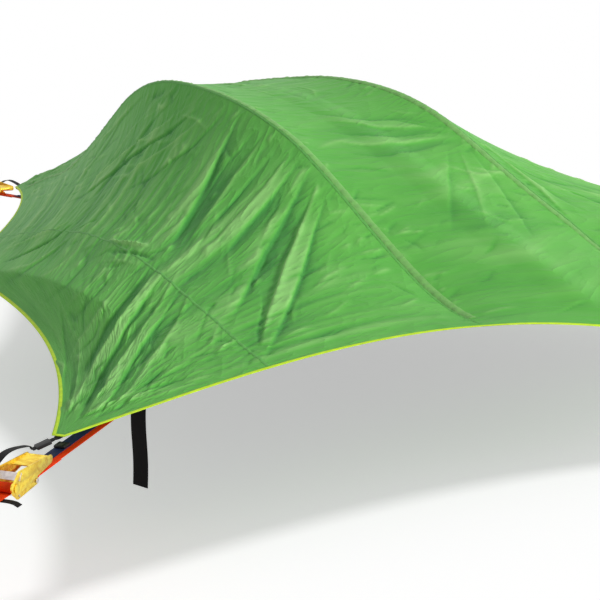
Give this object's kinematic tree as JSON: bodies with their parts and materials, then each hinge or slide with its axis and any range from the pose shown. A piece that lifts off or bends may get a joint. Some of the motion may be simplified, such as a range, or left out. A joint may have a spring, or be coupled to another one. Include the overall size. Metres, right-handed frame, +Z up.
{
  "type": "tree tent",
  "caption": "Suspended triangular tent with a green rain fly over hooped poles, a mesh canopy, a floor hatch, and ratchet straps at its corners.",
  "frame": {"origin": "centre of the plane through the fly's three corner tips", "axes": "+Z up, +Y towards the tail corner, +X to the right as seen from the front edge"},
  "size_m": [5.469, 4.7363, 1.007],
  "materials": {
    "fly": "matte coated woven",
    "binding": "matte woven",
    "canopy": "fine insect mesh",
    "floor": "matte woven",
    "webbing": "woven webbing",
    "navy": "woven webbing",
    "strap": "woven webbing",
    "zinc": "yellow zinc plated",
    "steel": "bright zinc plated",
    "pole": "satin",
    "plastic": "moulded"
  },
  "bodies": {
    "tent": {"fly_panel_left_outer": "fly", "fly_panel_left_inner": "fly", "fly_panel_centre": "fly", "fly_panel_right_inner": "fly", "fly_panel_right_outer": "fly", "fly_edge_binding": "binding", "pole_left": "pole", "pole_right": "pole", "pole_cup_left_front": "plastic", "pole_cup_left_rear": "plastic", "pole_cup_right_front": "plastic", "pole_cup_right_rear": "plastic", "canopy_left": "canopy", "canopy_right": "canopy", "canopy_centre": "canopy", "canopy_door": "canopy", "floor_panel": "floor", "floor_webbing": "webbing", "floor_edge_webbing_front": "webbing", "floor_edge_webbing_left": "webbing", "floor_edge_webbing_right": "webbing", "tree_strap_left": "strap", "corner_strap_left": "strap", "corner_webbing_left": "navy", "ratchet_frame_left": "zinc", "ratchet_bolt_left": "steel", "fly_strap_left": "webbing", "fly_buckle_left": "plastic", "tree_strap_right": "strap", "corner_strap_right": "strap", "corner_webbing_right": "navy", "ratchet_frame_right": "zinc", "ratchet_bolt_right": "steel", "fly_strap_right": "webbing", "fly_buckle_right": "plastic", "tree_strap_tail": "strap", "corner_strap_tail": "strap", "corner_webbing_tail": "navy", "ratchet_frame_tail": "zinc", "ratchet_bolt_tail": "steel", "fly_strap_tail": "webbing", "fly_buckle_tail": "plastic"},
    "handle_left": {"ratchet_handle_left": "zinc"},
    "spool_left": {"ratchet_spool_left": "zinc"},
    "handle_pawl_left": {"handle_pawl_left": "steel"},
    "frame_pawl_left": {"frame_pawl_left": "steel"},
    "handle_right": {"ratchet_handle_right": "zinc"},
    "spool_right": {"ratchet_spool_right": "zinc"},
    "handle_pawl_right": {"handle_pawl_right": "steel"},
    "frame_pawl_right": {"frame_pawl_right": "steel"},
    "handle_tail": {"ratchet_handle_tail": "zinc"},
    "spool_tail": {"ratchet_spool_tail": "zinc"},
    "handle_pawl_tail": {"handle_pawl_tail": "steel"},
    "frame_pawl_tail": {"frame_pawl_tail": "steel"},
    "hatch_flap": {"hatch_flap": "floor"},
    "hatch_slider": {"hatch_zip_slider": "plastic"},
    "hanging_strap": {"hanging_strap": "webbing"}
  },
  "joints": [
    {"name": "handle_swing_left", "type": "hinge", "parent": "tent", "child": "handle_left", "pos_m": [-2.31414, -1.33607, -0.046], "axis": [0.5, -0.866, 0], "range_deg": [0, 130]},
    {"name": "spool_turn_left", "type": "hinge", "parent": "tent", "child": "spool_left", "pos_m": [-2.31414, -1.33607, -0.046], "axis": [0.5, -0.866, 0], "continuous": true},
    {"name": "handle_pawl_lift_left", "type": "slide", "parent": "handle_left", "child": "handle_pawl_left", "axis": [0.5567, 0.3214, 0.766], "range_m": [0, 0.005], "stiffness_N_per_m": 400, "springref_m": -0.005},
    {"name": "frame_pawl_lift_left", "type": "slide", "parent": "tent", "child": "frame_pawl_left", "axis": [0.5567, 0.3214, -0.766], "range_m": [0, 0.005], "stiffness_N_per_m": 400, "springref_m": -0.005},
    {"name": "handle_swing_right", "type": "hinge", "parent": "tent", "child": "handle_right", "pos_m": [2.31414, -1.33607, -0.046], "axis": [0.5, 0.866, 0], "range_deg": [0, 130]},
    {"name": "spool_turn_right", "type": "hinge", "parent": "tent", "child": "spool_right", "pos_m": [2.31414, -1.33607, -0.046], "axis": [0.5, 0.866, 0], "continuous": true},
    {"name": "handle_pawl_lift_right", "type": "slide", "parent": "handle_right", "child": "handle_pawl_right", "axis": [-0.5567, 0.3214, 0.766], "range_m": [0, 0.005], "stiffness_N_per_m": 400, "springref_m": -0.005},
    {"name": "frame_pawl_lift_right", "type": "slide", "parent": "tent", "child": "frame_pawl_right", "axis": [-0.5567, 0.3214, -0.766], "range_m": [0, 0.005], "stiffness_N_per_m": 400, "springref_m": -0.005},
    {"name": "handle_swing_tail", "type": "hinge", "parent": "tent", "child": "handle_tail", "pos_m": [0, 2.67214, -0.046], "axis": [-1, 0, 0], "range_deg": [0, 130]},
    {"name": "spool_turn_tail", "type": "hinge", "parent": "tent", "child": "spool_tail", "pos_m": [0, 2.67214, -0.046], "axis": [-1, 0, 0], "continuous": true},
    {"name": "handle_pawl_lift_tail", "type": "slide", "parent": "handle_tail", "child": "handle_pawl_tail", "axis": [0, -0.6428, 0.766], "range_m": [0, 0.005], "stiffness_N_per_m": 400, "springref_m": -0.005},
    {"name": "frame_pawl_lift_tail", "type": "slide", "parent": "tent", "child": "frame_pawl_tail", "axis": [0, -0.6428, -0.766], "range_m": [0, 0.005], "stiffness_N_per_m": 400, "springref_m": -0.005},
    {"name": "hatch_flap_lift", "type": "hinge", "parent": "tent", "child": "hatch_flap", "pos_m": [0, -0.1744, -0.033], "axis": [1, 0, 0], "range_deg": [0, 68]},
    {"name": "hatch_zip_run", "type": "slide", "parent": "tent", "child": "hatch_slider", "axis": [0.5, 0.866, 0], "range_m": [0, 0.45]},
    {"name": "hanging_strap_swing", "type": "hinge", "parent": "tent", "child": "hanging_strap", "pos_m": [-1.59967, -0.92357, -0.0388], "axis": [0.5, -0.866, 0], "range_deg": [-35, 35]}
  ]
}
